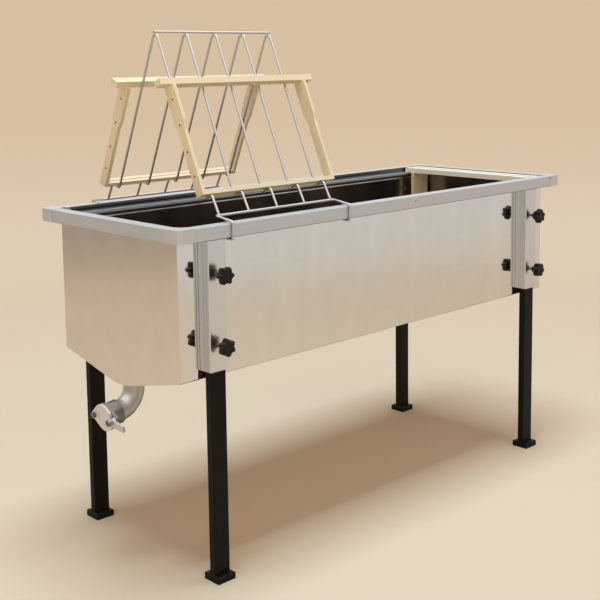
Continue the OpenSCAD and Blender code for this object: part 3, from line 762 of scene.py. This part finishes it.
@dataclass
class Piece:
    """One new mesh piece, shaped with bmesh operators where it stands in the row frame."""

    WELD = 1e-6
    name: str
    mesh: bmesh.types.BMesh = field(default_factory=bmesh.new)

    def rod(self, place: Matrix, radius: float, length: float, sides: int, end: float | None = None) -> None:
        """A capped rod along the place's Z, from its origin.

        Args:
            place: Where it stands.
            radius: Radius at the start.
            length: Its length.
            sides: Sides round it.
            end: Radius at the end, if it tapers.
        """
        bmesh.ops.create_cone(
            self.mesh,
            cap_ends=True,
            segments=sides,
            radius1=radius,
            radius2=radius if end is None else end,
            depth=length,
            matrix=place @ Matrix.Translation((0.0, 0.0, length / 2)),
        )

    def block(self, low: Vector, high: Vector, edge: float) -> None:
        """A block between two corners, with its edges eased.

        Args:
            low: Lowest corner.
            high: Highest corner.
            edge: Width of the eased edge.
        """
        place = Matrix.Translation((low + high) / 2) @ Matrix.Diagonal((*(high - low), 1.0))
        made = bmesh.ops.create_cube(self.mesh, size=1.0, matrix=place)
        bmesh.ops.bevel(
            self.mesh,
            geom=edges_of(made["verts"]),
            offset=edge,
            offset_type="OFFSET",
            affect="EDGES",
            segments=2,
            profile=0.5,
            material=-1,
        )

    def ring(self, place: Matrix, radius: float, wire: float, sides: int, wire_sides: int) -> None:
        """A round ring about the place's Z.

        Args:
            place: Its centre and axis.
            radius: Radius of its middle line.
            wire: Radius of its section.
            sides: Steps round the ring.
            wire_sides: Steps round the section.
        """
        upright = Matrix.Translation((radius, 0.0, 0.0)) @ Matrix.Rotation(QUARTER, 4, "X")
        made = bmesh.ops.create_circle(
            self.mesh, cap_ends=False, radius=wire, segments=wire_sides, matrix=place @ upright
        )
        bmesh.ops.spin(
            self.mesh,
            geom=made["verts"] + edges_of(made["verts"]),
            cent=place.translation,
            axis=(place.to_3x3() @ UP).normalized(),
            angle=2 * math.pi,
            steps=sides,
            use_merge=True,
            use_duplicate=False,
        )

    def finish(
        self, wardrobe: Wardrobe, finish: Finish, body: str, slot: str, smooth_deg: float = 40.0
    ) -> bpy.types.Object:
        """Closes the piece and sets it on its body.

        Args:
            wardrobe: Where its finish comes from.
            finish: The finish it wears.
            body: The body it moves with.
            slot: The record's material slot; not used.
            smooth_deg: Edges flatter than this are shaded smooth.

        Returns:
            The finished object.
        """
        bmesh.ops.remove_doubles(self.mesh, verts=self.mesh.verts, dist=self.WELD)
        bmesh.ops.recalc_face_normals(self.mesh, faces=self.mesh.faces)
        data = bpy.data.meshes.new(self.name)
        self.mesh.to_mesh(data)
        self.mesh.free()
        data.shade_smooth()
        data.set_sharp_from_angle(angle=math.radians(smooth_deg))
        obj = bpy.data.objects.new(self.name, data)
        bpy.context.scene.collection.objects.link(obj)
        wardrobe.wear(obj, finish)
        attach(obj, body)
        log.info("built %s on %s", self.name, body)
        return obj


def middle(node: str) -> Vector:
    """The middle of a CAD node's box.

    Args:
        node: The node's name.

    Returns:
        The box's middle in the row frame.
    """
    low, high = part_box(node)
    return (low + high) / 2


@dataclass(frozen=True)
class StarKnob:
    """A moulded star grip with round lobes and a dished cap, on a bare threaded stud."""

    corner: str
    level: str
    turn_deg: float = 0.0
    lobes: int = 6
    valley: float = 0.125
    steps: int = 96
    neck: float = 0.008
    neck_radius: float = 0.009
    neck_sides: int = 32
    smooth_deg: float = 50.0
    thread_pitch: float = 0.00125
    thread_crest: float = 0.00022
    thread_start: float = 0.8
    thread_sides: Steps = (28, 6)
    profile: tuple[Range, ...] = (
        (0.70, 0.0), (0.89, 0.0010), (0.965, 0.0028), (1.0, 0.0060), (1.0, 0.0125),
        (0.985, 0.0153), (0.94, 0.0177), (0.86, 0.0191), (0.74, 0.0198), (0.58, 0.0200),
        (0.52, 0.0199), (0.46, 0.0194), (0.40, 0.0192), (0.02, 0.0192),
    )

    @property
    def node(self) -> str:
        """The CAD node that the grip stands for."""
        return f"knob_{self.corner}_{self.level}"

    @property
    def stud(self) -> str:
        """The CAD node of the stud that the grip turns."""
        return f"stud_{self.corner}_{self.level}"

    def place(self) -> Matrix:
        """Start of the neck.

        Returns:
            Its place, with Z along the stud outwards.
        """
        low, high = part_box(self.node)
        centre = middle(self.stud)
        front = self.corner.startswith("f")
        start = Vector((centre.x, high.y if front else low.y, centre.z))
        return Matrix.Translation(start) @ Matrix.Rotation(QUARTER * (1 if front else -1), 4, "X")

    def build(self, wardrobe: Wardrobe) -> None:
        """Makes the grip and the stud's thread.

        Args:
            wardrobe: Where the finishes come from.
        """
        low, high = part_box(self.node)
        place = self.place()
        grip = Piece(f"grip_{self.corner}_{self.level}")
        self._head(grip.mesh, (high.x - low.x) / 2)
        turn = Matrix.Rotation(math.radians(self.turn_deg), 4, "Z")
        base = place @ Matrix.Translation((0.0, 0.0, self.neck)) @ turn
        bmesh.ops.transform(grip.mesh, matrix=base, verts=grip.mesh.verts)
        grip.rod(place, self.neck_radius, self.neck + self.profile[1][1], self.neck_sides)
        piece = grip.finish(wardrobe, BLACK_PLASTIC, self.node, "black_knob", self.smooth_deg)
        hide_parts(self.node)
        self._thread(wardrobe, place)

    def _head(self, mesh: bmesh.types.BMesh, radius: float) -> None:
        """The lobed head, drawn up ring by ring from its underside at the origin.

        Args:
            mesh: The mesh that it goes into.
            radius: Radius over the lobes.
        """
        scale, height = self.profile[0]
        made = bmesh.ops.create_circle(mesh, cap_ends=False, radius=radius * scale, segments=self.steps)
        for vert in made["verts"]:
            angle = math.atan2(vert.co.y, vert.co.x)
            vert.co *= 1.0 - self.valley + self.valley * math.cos(self.lobes * angle)
        edges = edges_of(made["verts"])
        bmesh.ops.edgeloop_fill(mesh, edges=edges)
        for wide, high in self.profile[1:]:
            drawn = bmesh.ops.extrude_edge_only(mesh, edges=edges)["geom"]
            ring = [part for part in drawn if isinstance(part, bmesh.types.BMVert)]
            edges = [part for part in drawn if isinstance(part, bmesh.types.BMEdge)]
            bmesh.ops.scale(mesh, vec=(wide / scale, wide / scale, 1.0), verts=ring)
            bmesh.ops.translate(mesh, vec=(0.0, 0.0, high - height), verts=ring)
            scale, height = wide, high
        bmesh.ops.edgeloop_fill(mesh, edges=edges)

    def _thread(self, wardrobe: Wardrobe, place: Matrix) -> None:
        """Ridges on the stud between clamp and grip.

        Args:
            wardrobe: Where the finish comes from.
            place: Start of the neck.
        """
        axis = (place.to_3x3() @ UP).normalized()
        low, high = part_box(self.stud)
        radius = (high.x - low.x) / 2
        clamp_low, clamp_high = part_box(f"leg_clamp_{self.corner}")
        face = clamp_low.y if axis.y < 0 else clamp_high.y
        bare = abs(place.translation.y - face)
        thread = Piece(f"thread_{self.corner}_{self.level}")
        for turn in range(int(bare / self.thread_pitch) - 1):
            at = place.translation - axis * (self.thread_pitch * (turn + self.thread_start))
            here = Matrix.Translation(at) @ place.to_3x3().to_4x4()
            thread.ring(here, radius - self.thread_crest, 2 * self.thread_crest, *self.thread_sides)
        thread.finish(wardrobe, SHADED_STEEL, self.node, "stud_steel")


@dataclass(frozen=True)
class HiveFrame:
    """Nails, wire eyelets and the painted shade in the eyelets' holes of one hive frame; local X along its
    top bar, Z up.
    """

    name: str
    lean_deg: float = 0.0
    turn_deg: float = 0.0
    top_thick: float = 0.015
    half_width: float = 0.210
    drop: float = 0.2679
    eyelets: tuple[float, ...] = (-0.034, -0.097, -0.162, -0.221)
    eyelet_radius: float = 0.0022
    eyelet_wire: float = 0.0006
    eyelet_sides: Steps = (18, 6)
    hole_proud: float = 0.0002
    nail_radius: float = 0.0016
    nail_taper: float = 0.8
    nail_sides: int = 14
    nail_across: float = 0.006
    nail_in: float = 0.0045
    nail_proud: float = 0.0004
    nail_sunk: float = 0.0001

    def place(self) -> Matrix:
        """Underside of the top bar, from the bar's own box.

        Returns:
            The frame's own axes in the row frame.
        """
        lean = Matrix.Rotation(math.radians(self.lean_deg), 4, "X")
        turn = lean @ Matrix.Rotation(math.radians(self.turn_deg), 4, "Z")
        centre = Matrix.Translation(middle(f"{self.name}_frame_top_bar"))
        return centre @ turn @ Matrix.Translation((0.0, 0.0, -self.top_thick / 2))

    def build(self, wardrobe: Wardrobe) -> None:
        """Makes the nail heads, the eyelets and dark discs of painted shade in their holes.

        Args:
            wardrobe: Where the finishes come from.
        """
        place = self.place()
        body = f"{self.name}_frame"
        nails, eyes, holes = (Piece(f"{body}_{part}") for part in ("nails", "eyelets", "wire_hole_shades"))
        nail = (self.nail_radius, self.nail_proud, self.nail_sides, self.nail_radius * self.nail_taper)
        for side in (-1.0, 1.0):
            out = Matrix.Rotation(QUARTER * side, 4, "Y")
            for height in self.eyelets:
                at = Matrix.Translation((side * self.half_width, 0.0, height))
                eyes.ring(place @ at @ out, self.eyelet_radius, self.eyelet_wire, *self.eyelet_sides)
                # A thin dark disc as painted shade in the hole.
                holes.rod(place @ at @ out, self.eyelet_radius, self.hole_proud, self.eyelet_sides[0])
            for across in (-self.nail_across, self.nail_across):
                outer = side * (self.half_width - self.nail_sunk)
                low = Matrix.Translation((outer, across, self.nail_in - self.drop))
                nails.rod(place @ low @ out, *nail)
                inner = side * (self.half_width - self.nail_in)
                high = Matrix.Translation((inner, across, self.top_thick - self.nail_sunk))
                nails.rod(place @ high, *nail)
        nails.finish(wardrobe, BRIGHT_STEEL, body, "stud_steel")
        eyes.finish(wardrobe, BRASS, body, "gate_steel")
        holes.finish(wardrobe, EYELET_HOLE_SHADE, body, "pine")


@dataclass
class Tank:
    """Trough, rim and drain."""

    wardrobe: Wardrobe
    tube: float = 0.030
    ledge_high: float = 0.8034
    strip: float = 0.0006
    strip_edge: float = 0.0002
    strip_below_top: float = 0.0012
    corner_inset: float = 0.0625
    weld_below_top: float = 0.0008
    weld_proud: float = 0.0004
    weld_radius: float = 0.0018
    weld_sides: Steps = (64, 10)

    def dress(self) -> None:
        """Puts the finishes on the CAD nodes."""
        put = self.wardrobe.dress
        put(STAINLESS, "trough_shell")
        put(STAINLESS_END, "left_end_plate", "right_end_plate")
        put(STRAINER_SHEET, "strainer")
        put(DRAWN_X, "rim_front", "rim_back")
        put(DRAWN_Y, "rim_left", "rim_right")
        put(CORNER_CAST, "rim_corners")
        put(OUTLET_STEEL, "outlet_elbow")
        put(GATE_CAST, "gate_body")
        put(GATE_FACE, "gate_flap")
        put(LEVER_STEEL, "gate_lever_screw")
        # The pivot bolt is darkened as painted shade.
        put(SHADED_STEEL, "gate_pivot_bolt")
        put(BRIGHT_STEEL, "clamp_rivets")
        put(SEAL_RUBBER, "gate_seal")

    def build(self) -> None:
        """Makes the rim's liner strips and the outlet's weld."""
        self._liner()
        self._weld()

    def _liner(self) -> None:
        """Polished strips on the rim's inner faces, above the ledge on the long sides, their dark colour a
        painted reflection of the tank's dark inside.
        """
        corner_low, corner_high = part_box("rim_corners")
        liner = Piece("rim_liner")
        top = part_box("rim_front")[1].z - self.strip_below_top
        front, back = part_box("rim_front")[0].y + self.tube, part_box("rim_back")[1].y - self.tube
        left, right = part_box("rim_left")[1].x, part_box("rim_right")[0].x
        for near, far in ((front, front + self.strip), (back - self.strip, back)):
            low = Vector((corner_low.x + self.corner_inset, near, self.ledge_high))
            high = Vector((corner_high.x - self.corner_inset, far, top))
            liner.block(low, high, self.strip_edge)
        for near, far in ((left, left + self.strip), (right - self.strip, right)):
            low = Vector((near, corner_low.y + self.corner_inset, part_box("rim_left")[0].z))
            high = Vector((far, corner_high.y - self.corner_inset, top))
            liner.block(low, high, self.strip_edge)
        # The strips are dark as a painted reflection.
        liner.finish(self.wardrobe, LINER_PAINTED_REFLECTION, "tank", "stainless_sheet")

    def _weld(self) -> None:
        """A bead where the outlet tube meets the trough."""
        low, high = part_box("outlet_elbow")
        weld = Piece("outlet_weld")
        radius = (high.y - low.y) / 2
        place = Matrix.Translation((high.x - radius, 0.0, high.z - self.weld_below_top))
        weld.ring(place, radius + self.weld_proud, self.weld_radius, *self.weld_sides)
        weld.finish(self.wardrobe, OUTLET_STEEL, "tank", "outlet_steel")


@dataclass
class Stand:
    """Leg clamps, legs, feet and knobs."""

    wardrobe: Wardrobe
    corner_turn_deg: float = 17.0
    level_turn_deg: float = 34.0

    def dress(self) -> None:
        """Puts the finishes on the CAD nodes."""
        put = self.wardrobe.dress
        for corner in CORNERS:
            put(DRAWN_Z, f"leg_clamp_{corner}")
            put(BLACK_TUBE, f"leg_{corner}")
            put(BLACK_FOOT, f"foot_{corner}")
            for level in LEVELS:
                put(BLACK_PLASTIC, f"knob_{corner}_{level}")
                # The studs are darkened as painted shade.
                put(SHADED_STEEL, f"stud_{corner}_{level}")

    def build(self) -> None:
        """Makes the moulded grips and the studs' threads, each turned another way."""
        for number, corner in enumerate(CORNERS):
            for step, level in enumerate(LEVELS):
                turn = self.corner_turn_deg * number + self.level_turn_deg * step
                StarKnob(corner, level, turn_deg=turn).build(self.wardrobe)


@dataclass
class Woodwork:
    """The wire rack and the hive frames."""

    wardrobe: Wardrobe
    pine: Colour = (0.86, 0.735, 0.51)
    # On the hanging frames the top bars take a paler copy of pine as painted light, the bottom and side bars
    # a darker copy as painted shade.
    lit_pine: Colour = (0.97, 0.90, 0.75)
    shaded_pine: Colour = (0.77, 0.62, 0.41)
    leaning_rings: float = 0.2
    hanging_rings: float = 0.1
    low_rings: float = 0.3
    seed_step: float = 1.7
    low_seed: float = 0.6
    side_seed: float = 1.1

    def dress(self) -> None:
        """Puts the finishes on the CAD nodes."""
        put = self.wardrobe.dress
        put(RACK_WIRE, "rack_loops", "rack_ridge", "rack_front_rail", "rack_back_rail")
        ways = {
            "front": (Axis.X, Axis.LEAN_FRONT),
            "back": (Axis.X, Axis.LEAN_BACK),
            "inner": (Axis.Y, Axis.Z),
            "outer": (Axis.Y, Axis.Z),
        }
        for number, (name, (lying, standing)) in enumerate(ways.items()):
            seed = self.seed_step * number
            # Hanging frames: paler top bars as painted light, darker bottom and side bars as painted shade.
            upper, lower, rings = self.lit_pine, self.shaded_pine, self.hanging_rings
            if standing is not Axis.Z:
                upper, lower, rings = self.pine, self.pine, self.leaning_rings
            top = Pine(f"pine_{name}_lying", upper, lying, seed=seed, ring_share=rings)
            low = Pine(f"pine_{name}_low", lower, lying, seed=seed + self.low_seed, ring_share=self.low_rings)
            side = Pine(f"pine_{name}_standing", lower, standing, seed=seed + self.side_seed)
            put(top, f"{name}_frame_top_bar")
            put(low, f"{name}_frame_bottom_bar")
            put(side, f"{name}_frame_side_bars")

    def build(self) -> None:
        """Makes the frames' nails and eyelets."""
        for frame in (
            HiveFrame("front", lean_deg=-LEAN_DEG),
            HiveFrame("back", lean_deg=LEAN_DEG),
            HiveFrame("inner", turn_deg=90.0),
            HiveFrame("outer", turn_deg=90.0),
        ):
            frame.build(self.wardrobe)


@dataclass
class Studio:
    """Floor, light and camera."""

    floor_colour: Colour = (0.77, 0.635, 0.47)
    floor_rough: float = 0.8
    floor_half: float = 30.0
    floor_fade: Range = (1.4, 4.0)
    distant_from: float = 4.5
    near_backdrop: Colour = (0.74, 0.61, 0.455)
    backdrop: Colour = (0.68, 0.53, 0.36)
    ahead: Colour = (0.75, 0.70, 0.65)
    ahead_y: Range = (-1.2, -3.4)
    aside: Colour = (0.46, 0.385, 0.31)
    aside_x: Range = (-1.0, -2.6)
    aside_reach: Range = (3.0, 5.2)
    sky: Colour = (0.62, 0.61, 0.60)
    sky_rise: Range = (0.05, 0.35)
    overhead: Colour = (2.0, 2.0, 2.0)
    overhead_rise: Range = (0.35, 0.8)
    fill: Colour = (0.275, 0.16, 0.088)
    front_fill: Colour = (1.1, 1.0, 0.9)
    front_rise: Range = (0.1, 0.9)
    lamp_colour: Colour = (0.67, 0.86, 1.0)
    lamp_place: Triple = (-0.5, -0.4, 8.0)
    lamp_size: Range = (5.0, 2.6)
    lamp_watts: float = 566.0
    camera_place: Vector = field(default_factory=lambda: Vector((-2.06066, -2.07886, 1.17734)))
    azimuth_deg: float = -43.6221
    elevation_deg: float = 6.9148
    roll_deg: float = -0.7542
    focal_px: float = 1079.4126
    frame_px: float = 600.0
    centre_y_px: float = 190.0
    sensor_mm: float = 36.0
    clip_end: float = 100.0

    def build(self) -> None:
        """Makes the floor, the world, the lamp and the camera."""
        self._floor()
        self._world()
        self._lamp()
        self._camera()

    def _floor(self) -> None:
        """A wide plain floor that fades into the backdrop's colour far out."""
        mesh = bpy.data.meshes.new("floor")
        shape = bmesh.new()
        bmesh.ops.create_grid(shape, x_segments=1, y_segments=1, size=self.floor_half)
        shape.to_mesh(mesh)
        shape.free()
        floor = bpy.data.objects.new("floor", mesh)
        bpy.context.scene.collection.objects.link(floor)
        material, wires = Wiring.material("plain_floor")
        plain = opaque(self.floor_colour)
        near = wires.add("ShaderNodeBsdfPrincipled", Base_Color=plain, Roughness=self.floor_rough)
        place = wires.add("ShaderNodeTexCoord").outputs["Object"]
        parts = wires.add("ShaderNodeSeparateXYZ", Vector=place)
        glossy = wires.add("ShaderNodeLightPath").outputs["Is Glossy Ray"]
        reach = wires.vector("LENGTH", place)
        forward = wires.math("MULTIPLY", wires.ease(parts.outputs["Y"], *self.ahead_y), glossy)
        left = wires.math("MULTIPLY", wires.ease(parts.outputs["X"], *self.aside_x), glossy)
        left = wires.math("MULTIPLY", left, wires.ease(reach, *self.aside_reach))
        nearness = wires.math("DIVIDE", 1.0, reach)
        distant = wires.ease(nearness, 1.0 / self.distant_from, 1.0 / self.floor_half)
        colour = wires.blend(distant, opaque(self.near_backdrop), opaque(self.backdrop))
        colour = wires.blend(left, colour, opaque(self.aside))
        colour = wires.blend(forward, colour, opaque(self.ahead))
        far = wires.add("ShaderNodeEmission", Color=colour, Strength=1.0)
        mix = wires.add("ShaderNodeMixShader", Fac=wires.ease(reach, *self.floor_fade))
        wires.put(mix, 1, near.outputs[0])
        wires.put(mix, 2, far.outputs[0])
        wires.add("ShaderNodeOutputMaterial", Surface=mix.outputs[0])
        floor.data.materials.append(material)

    def _world(self) -> None:
        """The backdrop for the camera, a bright ceiling for reflections, and soft light from the front."""
        world = bpy.data.worlds.new("studio")
        world.use_nodes = True
        bpy.context.scene.world = world
        wires = Wiring(world.node_tree)
        path = wires.add("ShaderNodeLightPath")
        way = wires.add("ShaderNodeTexCoord").outputs["Generated"]
        parts = wires.add("ShaderNodeSeparateXYZ", Vector=way)
        height = parts.outputs["Z"]
        low = wires.blend(wires.ease(height, *self.sky_rise), opaque(self.backdrop), opaque(self.sky))
        mirrored = wires.blend(wires.ease(height, *self.overhead_rise), low, opaque(self.overhead))
        turn = math.radians(self.azimuth_deg)
        east = wires.math("MULTIPLY", parts.outputs["X"], math.sin(turn))
        toward = wires.math("ADD", east, wires.math("MULTIPLY", parts.outputs["Y"], -math.cos(turn)))
        lit = wires.blend(wires.ease(toward, *self.front_rise), opaque(self.fill), opaque(self.front_fill))
        soft = wires.blend(path.outputs["Is Glossy Ray"], lit, mirrored)
        seen = wires.math("MAXIMUM", path.outputs["Is Camera Ray"], path.outputs["Is Transmission Ray"])
        background = world.node_tree.nodes["Background"]
        wires.put(background, "Color", wires.blend(seen, soft, opaque(self.backdrop)))
        wires.put(background, "Strength", 1.0)

    def _lamp(self) -> None:
        """One long softbox that hangs over the tank and faces the floor."""
        lamp = bpy.data.lights.new("overhead", "AREA")
        lamp.shape = "RECTANGLE"
        lamp.size, lamp.size_y = self.lamp_size
        lamp.energy = self.lamp_watts
        lamp.color = self.lamp_colour
        obj = bpy.data.objects.new("overhead", lamp)
        obj.location = self.lamp_place
        obj.visible_glossy = False
        bpy.context.scene.collection.objects.link(obj)

    def _camera(self) -> None:
        """A camera at the photograph's viewing angle."""
        turn, lift = math.radians(self.azimuth_deg), math.radians(self.elevation_deg)
        back = Vector((math.sin(turn) * math.cos(lift), -math.cos(turn) * math.cos(lift), math.sin(lift)))
        level = (-back).cross(UP).normalized()
        above = level.cross(-back)
        roll = math.radians(self.roll_deg)
        right = math.cos(roll) * level + math.sin(roll) * above
        up = -math.sin(roll) * level + math.cos(roll) * above
        data = bpy.data.cameras.new("camera")
        data.sensor_width = self.sensor_mm
        data.lens = self.focal_px / self.frame_px * self.sensor_mm
        data.shift_y = (self.centre_y_px - self.frame_px / 2) / self.frame_px
        data.clip_end = self.clip_end
        obj = bpy.data.objects.new("camera", data)
        axes = Matrix((right, up, back)).transposed().to_4x4()
        axes.translation = self.camera_place
        obj.matrix_world = axes
        bpy.context.scene.collection.objects.link(obj)
        bpy.context.scene.camera = obj


def main() -> None:
    """Loads the frame, dresses it, and adds the fittings and the studio."""
    logging.basicConfig(level=logging.INFO, format="%(name)s: %(message)s")
    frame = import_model()
    bpy.context.scene.view_settings.view_transform = "Standard"
    wardrobe = Wardrobe(frame["nodes"])
    Studio().build()
    for assembly in (Tank(wardrobe), Stand(wardrobe), Woodwork(wardrobe)):
        assembly.dress()
        assembly.build()


if __name__ == "__main__":
    main()
